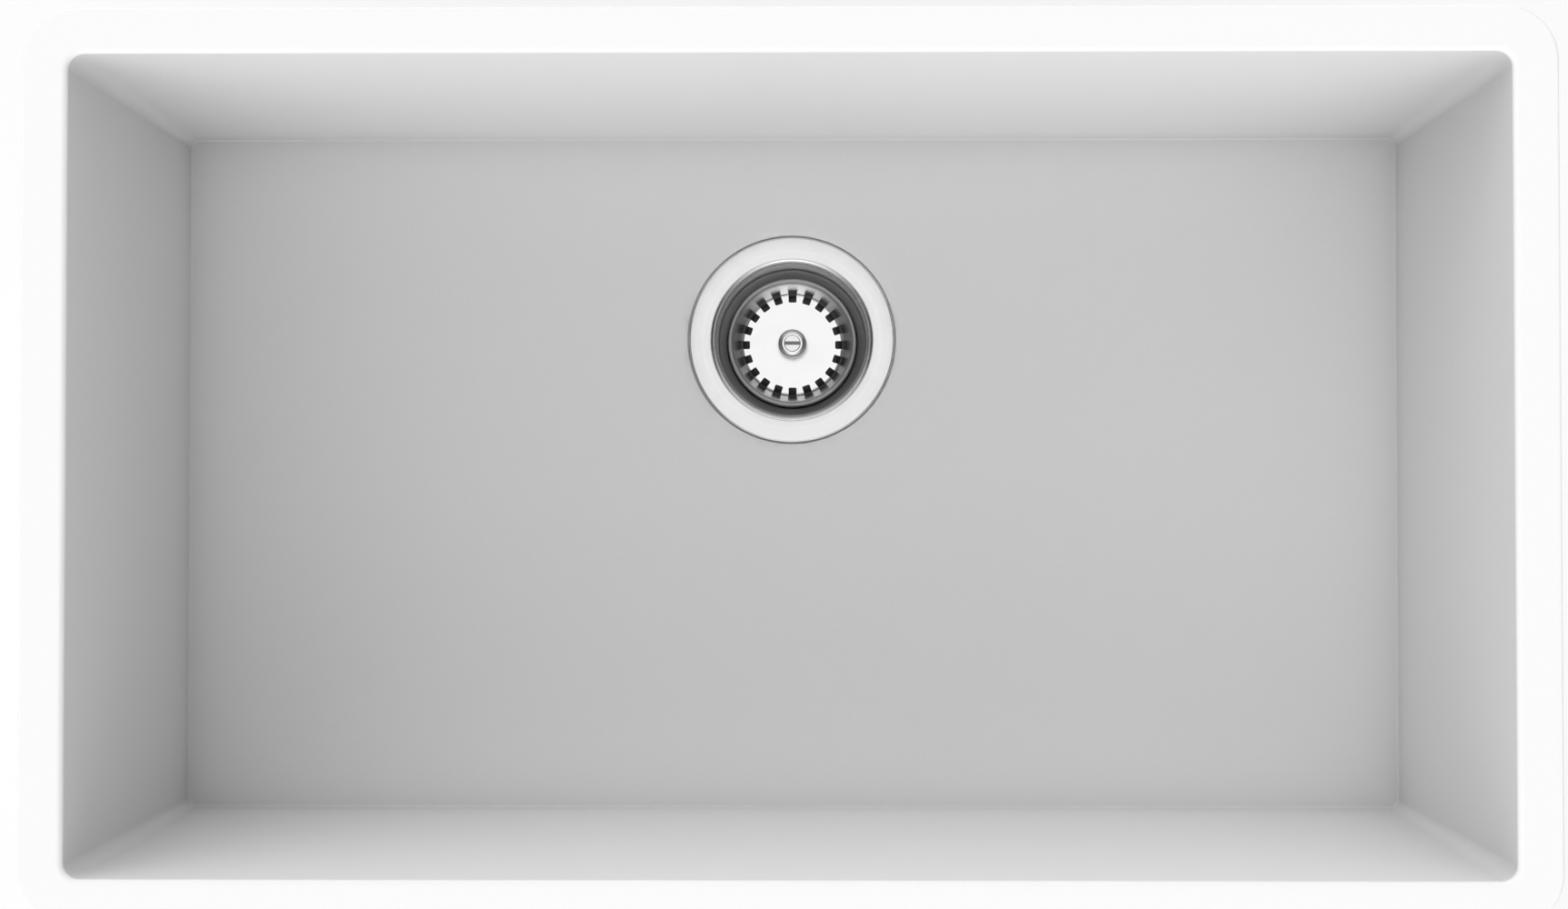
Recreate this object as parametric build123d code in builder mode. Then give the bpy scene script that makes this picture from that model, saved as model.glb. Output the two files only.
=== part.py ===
from build123d import *
import os
from math import radians, tan

# Undermount kitchen sink: one moulded bowl with a 3 1/2 inch basket strainer waste.
# The origin is the centre of the bowl's opening, in the plane of the flange's top
# face, which meets the underside of the worktop. +X runs to the right along the
# sink, +Y to the back, where the drain lies, and +Z up. Sizes are in millimetres.

os.makedirs("parts", exist_ok=True)

# ---- driving dimensions: bowl ----
opening_length = 700.0
opening_width = 400.0
bowl_depth = 200.0  # flange top to the edge of the floor
wall_draft = 4.0  # degrees that each wall leans in
wall_thickness = 8.0
floor_thickness = 10.0
floor_fall = 2.0  # drop of the floor from its edge to the drain
corner_radius = 12.0  # upright inner corners at the opening
floor_corner_radius = 15.0  # the same corners at the floor
floor_fillet = 3.0
outer_floor_fillet = 16.0
rim_rounding = 3.0
flange_width = 22.0
flange_thickness = 12.0
flange_corner_radius = 26.0
flange_edge_rounding = 1.5
flange_root_fillet = 4.0

# ---- driving dimensions: drain opening ----
drain_offset = 74.0  # drain centre behind the bowl's centre
drain_hole_clearance = 2.2  # hole round the threaded collar
drain_recess_depth = 2.5
drain_recess_gap = 0.8  # round the strainer's flange
drain_seat_thickness = 9.5
drain_boss_width = 17.5  # from the hole outwards
drain_boss_fillet = 3.0
drain_flat_margin = 4.0  # level floor round the recess
drain_flat_corner = 48.0

# ---- driving dimensions: threaded inserts for the worktop clips ----
insert_bore_radius = 2.5
insert_wall = 1.5
insert_length = 10.0
insert_bore_depth = 8.5
insert_groove_depth = 0.6
insert_groove_height = 2.0
insert_edge_inset = 7.5  # insert centre to the flange's outer edge
insert_hole_clearance = 0.02
insert_hole_end_gap = 1.0
insert_pad_wall = 3.0
insert_pad_drop = 4.0
long_side_pitch = 245.0
short_side_pitch = 210.0

# ---- driving dimensions: strainer body ----
collar_radius = 43.3  # outside of the threaded collar
body_sheet = 1.0
strainer_flange_width = 14.2  # beyond the collar
flange_hem = 2.5  # turned-down outer edge
flange_hem_bend = 1.2
throat_bend = 3.5
thread_spare = 4.0  # thread left below the locknut
ledge_width = 5.3
ledge_drop = 2.0
lower_cup_depth = 16.0
lower_cup_taper = 3.5
ledge_bend = 1.6
cup_floor_bend = 4.0
outlet_radius = 20.3

# ---- driving dimensions: seals, nuts and outlet ----
flange_seal_thickness = 2.0
flange_seal_margin = 2.5  # outside the drain hole
flange_seal_inset = 1.5  # inside the flange's edge
gasket_width = 10.4
gasket_thickness = 4.0
gasket_lip_height = 3.0
gasket_lip_clearance = 0.3
friction_washer_thickness = 1.5
collar_clearance = 0.3  # rings and nut round the collar
locknut_rim_width = 8.4
locknut_wall = 4.7
locknut_height = 11.0
locknut_rim_height = 3.0
locknut_lug_count = 6
locknut_lug_width = 9.0
locknut_lug_reach = 6.0
neck_wall = 3.5
neck_length = 22.0
neck_flange_width = 4.7
neck_flange_thickness = 1.5
neck_chamfer = 0.8
neck_clearance = 0.25
tail_radius = 19.05
tail_wall = 1.0
tail_length = 100.0
tail_flange_inset = 1.0  # inside the neck's thread
tail_flange_thickness = 1.5
tail_washer_thickness = 2.0
tail_clearance = 0.95  # nut round the tube
coupling_wall = 3.45
coupling_grip_height = 9.0  # nut over the neck's end
coupling_lip_height = 2.5
coupling_chamfer = 1.5

# ---- driving dimensions: stem guide ----
cross_depth = 7.0  # guide below the cup's floor
cross_ring_height = 4.0
cross_ring_wall = 1.4
cross_fit = 0.05
cross_arm_count = 4
cross_arm_width = 3.0
cross_arm_height = 2.5
hub_wall = 3.0
grip_wall = 1.44
grip_flange_width = 1.7
grip_flange_thickness = 1.0
grip_seat_gap = 0.3
grip_hub_clearance = 0.06
grip_tail = 1.2  # bush below the hub
post_grip_clearance = 0.06

# ---- driving dimensions: basket ----
basket_sheet = 0.8
basket_rim_gap = 5.8  # inside the collar
basket_rim_width = 2.2
basket_rim_drop = 1.6
basket_rim_bend = 1.0
basket_height = 22.0
basket_taper = 7.5
basket_base_bend = 1.5
slot_count = 20
slot_width = 4.6
slot_reach = 4.5  # from the base's edge inwards
slot_corner = 0.8
slot_rise = 3.0
post_radius = 3.0
post_fit = 0.05
post_collar_width = 3.0
post_collar_height = 1.5
post_neck_growth = 0.6  # upper stem thicker than the lower
post_tip_chamfer = 1.2
post_below_hub = 9.0
knob_radius = 8.0
knob_height = 9.5
knob_lift = 8.0  # knob's underside above the basket's base
knob_waist_wall = 1.6
knob_waist_height = 1.5
knob_socket_depth = 5.5
knob_seat_depth = 1.8  # counterbore for the screw's head
knob_edge_rounding = 2.6
screw_radius = 2.0
screw_length = 9.0  # below its head
screw_head_width = 2.8
screw_head_height = 1.6
screw_head_rounding = 0.5
screw_head_gap = 0.3  # to the knob's counterbore
screw_slot_width = 2.0
screw_slot_depth = 1.2
screw_fit = 0.05
screw_hole_gap = 2.0  # below the screw's tip
stopper_overlap = 8.2  # beyond the outlet
stopper_thickness = 2.5
stopper_lip_width = 4.0
stopper_lip_drop = 0.8
stopper_seat_gap = 0.3
seal_washer_width = 8.0
seal_washer_thickness = 1.0
clip_width = 2.6
clip_thickness = 0.8
clip_groove_depth = 0.7
clip_gap_width = 3.2
clip_fit = 0.05

# ---- radii that follow from them ----
insert_radius = insert_bore_radius + insert_wall
insert_pad_radius = insert_radius + insert_pad_wall
drain_hole_radius = collar_radius + drain_hole_clearance
drain_boss_radius = drain_hole_radius + drain_boss_width
strainer_flange_radius = collar_radius + strainer_flange_width
recess_radius = strainer_flange_radius + drain_recess_gap
collar_inner_radius = collar_radius - body_sheet
ledge_inner_radius = collar_inner_radius - ledge_width
lower_cup_radius = ledge_inner_radius - lower_cup_taper
collar_bore = collar_radius + collar_clearance
gasket_outer_radius = collar_bore + gasket_width
gasket_lip_radius = drain_hole_radius - gasket_lip_clearance
locknut_radius = collar_bore + locknut_rim_width
neck_radius = outlet_radius + neck_wall
neck_bore = neck_radius + neck_clearance
neck_flange_radius = neck_radius + neck_flange_width
tail_flange_radius = neck_radius - tail_flange_inset
coupling_flat_radius = neck_bore + coupling_wall
coupling_corner_radius = coupling_flat_radius + coupling_chamfer
cross_radius = outlet_radius - cross_fit
grip_bore = post_radius + post_grip_clearance
grip_radius = grip_bore + grip_wall
grip_flange_radius = grip_radius + grip_flange_width
hub_bore = grip_radius + grip_hub_clearance
hub_radius = hub_bore + hub_wall
basket_rim_radius = collar_inner_radius - basket_rim_gap
basket_base_radius = basket_rim_radius - basket_taper
slot_inner_radius = basket_base_radius - slot_reach
post_bore = post_radius + post_fit
post_collar_radius = post_radius + post_collar_width
post_neck_radius = post_radius + post_neck_growth
knob_bore = post_neck_radius + post_fit
knob_waist_radius = knob_bore + knob_waist_wall
screw_head_radius = screw_radius + screw_head_width
screw_bore = screw_radius + screw_fit
knob_seat_radius = screw_head_radius + screw_head_gap
stopper_radius = outlet_radius + stopper_overlap
seal_washer_radius = post_bore + seal_washer_width
clip_groove_radius = post_radius - clip_groove_depth
clip_outer_radius = post_radius + clip_width

# ---- heights that follow from them ----
floor_at_drain = -(bowl_depth + floor_fall)
recess_floor = floor_at_drain - drain_recess_depth
flange_under = recess_floor + flange_seal_thickness
flange_top = flange_under + body_sheet
boss_underside = recess_floor - drain_seat_thickness
gasket_bottom = boss_underside - gasket_thickness
friction_washer_bottom = gasket_bottom - friction_washer_thickness
locknut_bottom = friction_washer_bottom - locknut_height
collar_bottom = locknut_bottom - thread_spare
cup_floor = collar_bottom - ledge_drop - lower_cup_depth
cup_underside = cup_floor - body_sheet
neck_bottom = cup_underside - neck_length
tail_flange_top = neck_bottom - tail_washer_thickness
tail_flange_bottom = tail_flange_top - tail_flange_thickness
tail_bottom = tail_flange_top - tail_length
coupling_bottom = tail_flange_bottom - coupling_lip_height
coupling_top = neck_bottom + coupling_grip_height
hub_top = cup_floor - cross_depth
hub_bottom = hub_top - cross_ring_height
grip_top = hub_top + grip_seat_gap + grip_flange_thickness
stopper_disc_bottom = cup_floor + stopper_seat_gap + stopper_lip_drop
basket_underside = stopper_disc_bottom + stopper_thickness
basket_floor = basket_underside + basket_sheet
basket_rim = basket_floor + basket_height
seal_washer_bottom = stopper_disc_bottom - seal_washer_thickness
clip_bottom = seal_washer_bottom - clip_thickness
post_tip = hub_bottom - post_below_hub
knob_bottom = basket_floor + knob_lift
knob_top = knob_bottom + knob_height
knob_seat = knob_top - knob_seat_depth
stem_top = knob_bottom + knob_socket_depth
screw_tip = knob_seat - screw_length
screw_hole_end = screw_tip - screw_hole_gap

pad_bottom = -(flange_thickness + insert_pad_drop)
insert_x = opening_length / 2 + flange_width - insert_edge_inset
insert_y = opening_width / 2 + flange_width - insert_edge_inset
insert_places = []
for side, angle in ((1, 90), (-1, -90)):
    for step in (-1, 0, 1):
        insert_places.append(Location((step * long_side_pitch, side * insert_y), angle))
for side, angle in ((1, 0), (-1, 180)):
    for step in (-0.5, 0.5):
        insert_places.append(Location((side * insert_x, step * short_side_pitch), angle))

# Sections of the waste are drawn as (radius, height) on this plane, through its axis.
drain_section = Plane(origin=(0, drain_offset, 0), x_dir=(1, 0, 0), z_dir=(0, -1, 0))
drain_axis = Axis((0, drain_offset, 0), (0, 0, 1))


def drain_plane(height):
    """Level plane at a height, centred on the waste's axis."""
    return Plane(origin=(0, drain_offset, height))


def lean(depth):
    """How far a wall has leaned in at a depth below the flange's top."""
    return depth * tan(radians(wall_draft))


def save(builder, name):
    """Label a finished piece and write it to its own file."""
    builder.part.label = name
    export_step(builder.part, f"parts/{name}.step")


# ---- sink_bowl: flange, leaning walls, falling floor and drain seat in one moulding ----
outer_depth = bowl_depth + floor_thickness
floor_length = opening_length - 2 * lean(bowl_depth)
floor_width = opening_width - 2 * lean(bowl_depth)
drain_flat_size = 2 * (recess_radius + drain_flat_margin)
with BuildPart() as sink_bowl:
    # outside of the walls
    with BuildSketch():
        RectangleRounded(
            opening_length + 2 * wall_thickness,
            opening_width + 2 * wall_thickness,
            corner_radius + wall_thickness,
        )
    with BuildSketch(Plane.XY.offset(-outer_depth)):
        RectangleRounded(
            opening_length + 2 * (wall_thickness - lean(outer_depth)),
            opening_width + 2 * (wall_thickness - lean(outer_depth)),
            floor_corner_radius + wall_thickness,
        )
    loft(ruled=True)
    fillet(sink_bowl.faces().sort_by(Axis.Z)[0].edges(), outer_floor_fillet)

    # flange, blended into the walls
    with BuildSketch():
        RectangleRounded(
            opening_length + 2 * flange_width,
            opening_width + 2 * flange_width,
            flange_corner_radius,
        )
    extrude(amount=-flange_thickness)
    flange_underside = sink_bowl.faces().filter_by(
        lambda face: abs(face.center().Z + flange_thickness) < 0.01
    )
    fillet(flange_underside[0].inner_wires()[0].edges(), flange_root_fillet)
    fillet(flange_underside[0].outer_wire().edges(), flange_edge_rounding)

    # pads that carry the threaded inserts, run back into the walls
    with BuildSketch(Plane.XY.offset(pad_bottom)):
        with Locations(*insert_places):
            Circle(insert_pad_radius)
            Rectangle(flange_width, 2 * insert_pad_radius, align=(Align.MAX, Align.CENTER))
    extrude(amount=insert_pad_drop + flange_thickness / 2)

    # thick seat under the drain
    with BuildSketch(drain_plane(boss_underside)):
        Circle(drain_boss_radius)
    extrude(amount=drain_seat_thickness)
    fillet(sink_bowl.faces().sort_by(Axis.Z)[0].edges(), drain_boss_fillet)

    # cavity: leaning walls down to a level floor with a filleted edge
    with BuildSketch():
        RectangleRounded(opening_length, opening_width, corner_radius)
    with BuildSketch(Plane.XY.offset(-bowl_depth)):
        RectangleRounded(floor_length, floor_width, floor_corner_radius)
    loft(ruled=True, mode=Mode.SUBTRACT)
    floor_edge = sink_bowl.edges().filter_by(
        lambda edge: all(abs(corner.Z + bowl_depth) < 0.01 for corner in edge.vertices())
    )
    fillet(floor_edge, floor_fillet)

    # fall of the floor, from the foot of the fillet to a level patch at the drain
    with BuildSketch(Plane.XY.offset(-bowl_depth)):
        RectangleRounded(
            floor_length - 2 * floor_fillet,
            floor_width - 2 * floor_fillet,
            floor_corner_radius - floor_fillet,
        )
    with BuildSketch(drain_plane(floor_at_drain)):
        RectangleRounded(drain_flat_size, drain_flat_size, drain_flat_corner)
    loft(ruled=True, mode=Mode.SUBTRACT)

    # drain recess and hole
    with BuildSketch(drain_plane(floor_at_drain)):
        Circle(recess_radius)
    extrude(amount=-drain_recess_depth, mode=Mode.SUBTRACT)
    with BuildSketch(drain_plane(recess_floor)):
        Circle(drain_hole_radius)
    extrude(amount=-drain_seat_thickness, mode=Mode.SUBTRACT)

    # blind holes for the inserts
    with BuildSketch(Plane.XY.offset(pad_bottom)):
        with Locations(*insert_places):
            Circle(insert_radius + insert_hole_clearance)
    extrude(amount=insert_length + insert_hole_end_gap, mode=Mode.SUBTRACT)

    # soft edges of the flange's top face
    flange_face = sink_bowl.faces().sort_by(Axis.Z)[-1]
    fillet(flange_face.outer_wire().edges(), flange_edge_rounding)
    flange_face = sink_bowl.faces().sort_by(Axis.Z)[-1]
    fillet(flange_face.inner_wires()[0].edges(), rim_rounding)
save(sink_bowl, "sink_bowl")

# ---- clip_inserts: grooved brass inserts, open downwards ----
with BuildPart() as clip_inserts:
    with BuildSketch(Plane.XY.offset(pad_bottom)):
        with Locations(*insert_places):
            Circle(insert_radius)
    extrude(amount=insert_length)
    with BuildSketch(Plane.XY.offset(pad_bottom + (insert_length - insert_groove_height) / 2)):
        with Locations(*insert_places):
            Circle(insert_radius)
            Circle(insert_radius - insert_groove_depth, mode=Mode.SUBTRACT)
    extrude(amount=insert_groove_height, mode=Mode.SUBTRACT)
    with BuildSketch(Plane.XY.offset(pad_bottom)):
        with Locations(*insert_places):
            Circle(insert_bore_radius)
    extrude(amount=insert_bore_depth, mode=Mode.SUBTRACT)
save(clip_inserts, "clip_inserts")

# ---- flange_seal: flat ring that beds the strainer's flange in the recess ----
with BuildPart() as flange_seal:
    with BuildSketch(drain_plane(recess_floor)):
        Circle(strainer_flange_radius - flange_seal_inset)
        Circle(drain_hole_radius + flange_seal_margin, mode=Mode.SUBTRACT)
    extrude(amount=flange_seal_thickness)
save(flange_seal, "flange_seal")

# ---- strainer_body: cup pressed from one sheet, drawn along its wet side ----
with BuildPart() as strainer_body:
    with BuildSketch(drain_section):
        with BuildLine():
            FilletPolyline(
                (strainer_flange_radius, flange_top - flange_hem),
                (strainer_flange_radius, flange_top),
                (collar_inner_radius, flange_top),
                (collar_inner_radius, collar_bottom),
                (ledge_inner_radius, collar_bottom - ledge_drop),
                (lower_cup_radius, cup_floor),
                (outlet_radius, cup_floor),
                radius=(flange_hem_bend, throat_bend, ledge_bend, ledge_bend, cup_floor_bend),
            )
            offset(amount=body_sheet, side=Side.LEFT)
        make_face()
    revolve(axis=drain_axis)
save(strainer_body, "strainer_body")

# ---- rubber_gasket: flat ring with a lip that centres it in the drain hole ----
with BuildPart() as rubber_gasket:
    with BuildSketch(drain_section):
        with BuildLine():
            Polyline(
                (collar_bore, gasket_bottom),
                (gasket_outer_radius, gasket_bottom),
                (gasket_outer_radius, boss_underside),
                (gasket_lip_radius, boss_underside),
                (gasket_lip_radius, boss_underside + gasket_lip_height),
                (collar_bore, boss_underside + gasket_lip_height),
                close=True,
            )
        make_face()
    revolve(axis=drain_axis)
save(rubber_gasket, "rubber_gasket")

# ---- friction_washer ----
with BuildPart() as friction_washer:
    with BuildSketch(drain_plane(friction_washer_bottom)):
        Circle(gasket_outer_radius)
        Circle(collar_bore, mode=Mode.SUBTRACT)
    extrude(amount=friction_washer_thickness)
save(friction_washer, "friction_washer")

# ---- locknut: stepped ring with lugs for the wrench ----
with BuildPart() as locknut:
    with BuildSketch(drain_plane(locknut_bottom)):
        Circle(collar_bore + locknut_wall)
    extrude(amount=locknut_height)
    with BuildSketch(drain_plane(locknut_bottom + locknut_height)):
        Circle(locknut_radius)
    extrude(amount=-locknut_rim_height)
    with BuildSketch(drain_plane(locknut_bottom)):
        with PolarLocations(collar_bore, locknut_lug_count):
            Rectangle(
                locknut_radius + locknut_lug_reach - collar_bore,
                locknut_lug_width,
                align=(Align.MIN, Align.CENTER),
            )
    extrude(amount=locknut_height)
    with BuildSketch(drain_plane(locknut_bottom)):
        Circle(collar_bore)
    extrude(amount=locknut_height, mode=Mode.SUBTRACT)
save(locknut, "locknut")

# ---- outlet_neck: threaded stub brazed under the cup ----
with BuildPart() as outlet_neck:
    with BuildSketch(drain_section):
        with BuildLine():
            Polyline(
                (outlet_radius, cup_underside),
                (neck_flange_radius, cup_underside),
                (neck_flange_radius, cup_underside - neck_flange_thickness),
                (neck_radius, cup_underside - neck_flange_thickness),
                (neck_radius, neck_bottom + neck_chamfer),
                (neck_radius - neck_chamfer, neck_bottom),
                (outlet_radius, neck_bottom),
                close=True,
            )
        make_face()
    revolve(axis=drain_axis)
save(outlet_neck, "outlet_neck")

# ---- outlet_cross: ring, arms and hub that guide the basket's stem ----
with BuildPart() as outlet_cross:
    with BuildSketch(drain_plane(hub_bottom)):
        Circle(cross_radius)
        Circle(cross_radius - cross_ring_wall, mode=Mode.SUBTRACT)
        Circle(hub_radius)
    extrude(amount=cross_ring_height)
    with BuildSketch(drain_plane(hub_bottom)):
        with PolarLocations(hub_bore, cross_arm_count, start_angle=45):
            Rectangle(
                cross_radius - cross_ring_wall / 2 - hub_bore,
                cross_arm_width,
                align=(Align.MIN, Align.CENTER),
            )
    extrude(amount=cross_arm_height)
    with BuildSketch(drain_plane(hub_bottom)):
        Circle(hub_bore)
    extrude(amount=cross_ring_height, mode=Mode.SUBTRACT)
save(outlet_cross, "outlet_cross")

# ---- post_grip: flanged bush that turns in the hub and holds the stem ----
with BuildPart() as post_grip:
    with BuildSketch(drain_section):
        with BuildLine():
            Polyline(
                (grip_bore, hub_bottom - grip_tail),
                (grip_radius, hub_bottom - grip_tail),
                (grip_radius, hub_top + grip_seat_gap),
                (grip_flange_radius, hub_top + grip_seat_gap),
                (grip_flange_radius, grip_top),
                (grip_bore, grip_top),
                close=True,
            )
        make_face()
    revolve(axis=drain_axis)
save(post_grip, "post_grip")

# ---- basket_cup: pressed sheet with a turned-down rim and slots round its base ----
slot_bottom = basket_underside - basket_sheet
with BuildPart() as basket_cup:
    with BuildSketch(drain_section):
        with BuildLine():
            FilletPolyline(
                (basket_rim_radius, basket_rim - basket_rim_drop),
                (basket_rim_radius, basket_rim),
                (basket_rim_radius - basket_rim_width, basket_rim),
                (basket_base_radius, basket_floor),
                (post_bore, basket_floor),
                radius=(basket_rim_bend, basket_rim_bend, basket_base_bend),
            )
            offset(amount=basket_sheet, side=Side.LEFT)
        make_face()
    revolve(axis=drain_axis)
    with BuildSketch(drain_plane(slot_bottom)):
        with PolarLocations(slot_inner_radius, slot_count, start_angle=90):
            RectangleRounded(
                basket_rim_radius - slot_inner_radius,
                slot_width,
                slot_corner,
                align=(Align.MIN, Align.CENTER),
            )
    extrude(amount=basket_floor - slot_bottom + slot_rise, mode=Mode.SUBTRACT)
save(basket_cup, "basket_cup")

# ---- basket_post: stem with a collar on the basket's base and a groove for its clip ----
clip_groove_top = seal_washer_bottom
with BuildPart() as basket_post:
    with BuildSketch(drain_section):
        with BuildLine():
            Polyline(
                (0, post_tip),
                (post_radius - post_tip_chamfer, post_tip),
                (post_radius, post_tip + post_tip_chamfer),
                (post_radius, clip_bottom - clip_fit),
                (clip_groove_radius, clip_bottom - clip_fit),
                (clip_groove_radius, clip_groove_top),
                (post_radius, clip_groove_top),
                (post_radius, basket_floor),
                (post_collar_radius, basket_floor),
                (post_collar_radius, basket_floor + post_collar_height),
                (post_neck_radius, basket_floor + post_collar_height),
                (post_neck_radius, stem_top),
                (screw_bore, stem_top),
                (screw_bore, screw_hole_end),
                (0, screw_hole_end),
                close=True,
            )
        make_face()
    revolve(axis=drain_axis)
save(basket_post, "basket_post")

# ---- basket_knob: waisted knob, counterbored for its screw and bored for the stem ----
with BuildPart() as basket_knob:
    with BuildSketch(drain_section):
        with BuildLine():
            FilletPolyline(
                (knob_bore, knob_bottom),
                (knob_waist_radius, knob_bottom),
                (knob_waist_radius, knob_bottom + knob_waist_height),
                (knob_radius, knob_bottom + knob_height / 2),
                (knob_radius, knob_top),
                (knob_seat_radius, knob_top),
                (knob_seat_radius, knob_seat),
                (screw_bore, knob_seat),
                (screw_bore, stem_top),
                (knob_bore, stem_top),
                radius=(0, 0, knob_edge_rounding, knob_edge_rounding, 0, 0, 0, 0),
            )
            Line((knob_bore, stem_top), (knob_bore, knob_bottom))
        make_face()
    revolve(axis=drain_axis)
save(basket_knob, "basket_knob")

# ---- knob_screw: slotted screw through the knob into the stem ----
with BuildPart() as knob_screw:
    with BuildSketch(drain_plane(screw_tip)):
        Circle(screw_radius)
    extrude(amount=screw_length)
    with BuildSketch(drain_plane(knob_seat)):
        Circle(screw_head_radius)
    extrude(amount=screw_head_height)
    fillet(knob_screw.faces().sort_by(Axis.Z)[-1].edges(), screw_head_rounding)
    with BuildSketch(drain_plane(knob_seat + screw_head_height)):
        Rectangle(2 * screw_head_radius, screw_slot_width)
    extrude(amount=-screw_slot_depth, mode=Mode.SUBTRACT)
save(knob_screw, "knob_screw")

# ---- stopper_seal: rubber disc with a drooping lip that closes the outlet ----
with BuildPart() as stopper_seal:
    with BuildSketch(drain_section):
        with BuildLine():
            Polyline(
                (post_bore, stopper_disc_bottom),
                (stopper_radius - stopper_lip_width, stopper_disc_bottom),
                (stopper_radius - stopper_lip_width / 2, stopper_disc_bottom - stopper_lip_drop),
                (stopper_radius, stopper_disc_bottom),
                (stopper_radius, basket_underside - stopper_thickness / 2),
                (stopper_radius - stopper_lip_width / 2, basket_underside),
                (post_bore, basket_underside),
                close=True,
            )
        make_face()
    revolve(axis=drain_axis)
save(stopper_seal, "stopper_seal")

# ---- seal_washer: clamps the rubber disc from below ----
with BuildPart() as seal_washer:
    with BuildSketch(drain_plane(seal_washer_bottom)):
        Circle(seal_washer_radius)
        Circle(post_bore, mode=Mode.SUBTRACT)
    extrude(amount=seal_washer_thickness)
save(seal_washer, "seal_washer")

# ---- post_clip: open retaining ring in the stem's groove ----
with BuildPart() as post_clip:
    with BuildSketch(drain_plane(clip_bottom)):
        Circle(clip_outer_radius)
        Circle(clip_groove_radius + clip_fit, mode=Mode.SUBTRACT)
        Rectangle(
            clip_outer_radius,
            clip_gap_width,
            align=(Align.MIN, Align.CENTER),
            mode=Mode.SUBTRACT,
        )
    extrude(amount=clip_thickness)
save(post_clip, "post_clip")

# ---- tailpiece_washer ----
with BuildPart() as tailpiece_washer:
    with BuildSketch(drain_plane(tail_flange_top)):
        Circle(tail_flange_radius)
        Circle(tail_radius, mode=Mode.SUBTRACT)
    extrude(amount=tail_washer_thickness)
save(tailpiece_washer, "tailpiece_washer")

# ---- tailpiece: flanged tube to the trap ----
with BuildPart() as tailpiece:
    with BuildSketch(drain_section):
        with BuildLine():
            Polyline(
                (tail_radius - tail_wall, tail_bottom),
                (tail_radius, tail_bottom),
                (tail_radius, tail_flange_bottom),
                (tail_flange_radius, tail_flange_bottom),
                (tail_flange_radius, tail_flange_top),
                (tail_radius - tail_wall, tail_flange_top),
                close=True,
            )
        make_face()
    revolve(axis=drain_axis)
save(tailpiece, "tailpiece")

# ---- coupling_nut: six-sided nut, its corners chamfered at both ends ----
with BuildPart() as coupling_nut:
    with BuildSketch(drain_plane(coupling_bottom)):
        RegularPolygon(coupling_flat_radius, 6, major_radius=False)
    extrude(amount=coupling_top - coupling_bottom)
    with BuildSketch(drain_section):
        with BuildLine():
            Polyline(
                (tail_radius + tail_clearance, coupling_bottom),
                (coupling_flat_radius, coupling_bottom),
                (coupling_corner_radius + coupling_chamfer, coupling_bottom + coupling_chamfer),
                (coupling_corner_radius + coupling_chamfer, coupling_top - coupling_chamfer),
                (coupling_flat_radius, coupling_top),
                (neck_bore, coupling_top),
                (neck_bore, tail_flange_bottom),
                (tail_radius + tail_clearance, tail_flange_bottom),
                close=True,
            )
        make_face()
    revolve(axis=drain_axis, mode=Mode.INTERSECT)
save(coupling_nut, "coupling_nut")
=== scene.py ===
from collections import namedtuple
import math

import bmesh
import bpy
from mathutils import Matrix, Vector


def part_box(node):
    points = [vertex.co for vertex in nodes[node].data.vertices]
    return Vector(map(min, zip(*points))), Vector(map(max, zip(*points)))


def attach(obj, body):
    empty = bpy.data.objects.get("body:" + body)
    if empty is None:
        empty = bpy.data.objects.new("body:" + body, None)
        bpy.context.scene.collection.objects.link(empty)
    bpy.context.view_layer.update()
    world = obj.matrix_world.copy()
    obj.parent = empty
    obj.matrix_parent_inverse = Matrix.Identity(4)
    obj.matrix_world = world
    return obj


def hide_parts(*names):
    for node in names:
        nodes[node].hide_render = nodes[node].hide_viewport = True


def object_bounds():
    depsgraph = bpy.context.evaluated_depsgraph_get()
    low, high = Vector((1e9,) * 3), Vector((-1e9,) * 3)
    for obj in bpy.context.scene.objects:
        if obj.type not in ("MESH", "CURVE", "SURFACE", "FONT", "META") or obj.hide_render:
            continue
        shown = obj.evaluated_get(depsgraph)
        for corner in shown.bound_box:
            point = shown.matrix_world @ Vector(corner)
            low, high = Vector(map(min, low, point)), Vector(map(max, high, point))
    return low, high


# Looks of the undermount sink: finishes of every piece, a soft studio and the camera.
# Lengths are in metres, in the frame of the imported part: the origin is the centre of
# the bowl's opening at the flange's top face, +X right, +Y to the back, +Z up.

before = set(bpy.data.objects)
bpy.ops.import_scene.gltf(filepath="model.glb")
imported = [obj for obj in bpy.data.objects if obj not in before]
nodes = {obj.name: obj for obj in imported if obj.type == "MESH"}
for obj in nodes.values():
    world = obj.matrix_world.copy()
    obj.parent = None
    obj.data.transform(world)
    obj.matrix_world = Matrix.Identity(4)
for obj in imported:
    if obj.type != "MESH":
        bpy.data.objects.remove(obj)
cad_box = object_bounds()

SINK = "sink"  # the body that every piece made here rides

# ---- measures, read from the frame where it gives them ---------------------------------

drain_low, drain_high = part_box("strainer_body")
DRAIN_Y = (drain_low.y + drain_high.y) / 2

bowl_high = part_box("sink_bowl")[1]
FLANGE_WIDTH = 0.022
HALF_LENGTH = bowl_high.x - FLANGE_WIDTH  # of the opening
HALF_WIDTH = bowl_high.y - FLANGE_WIDTH
WALL_LEAN = math.tan(math.radians(4.0))
FOOT_Z = -0.200  # where the floor meets the walls
UNDERSIDE_Z = -0.2055


# ---- node helpers -------------------------------------------------------------------

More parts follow.
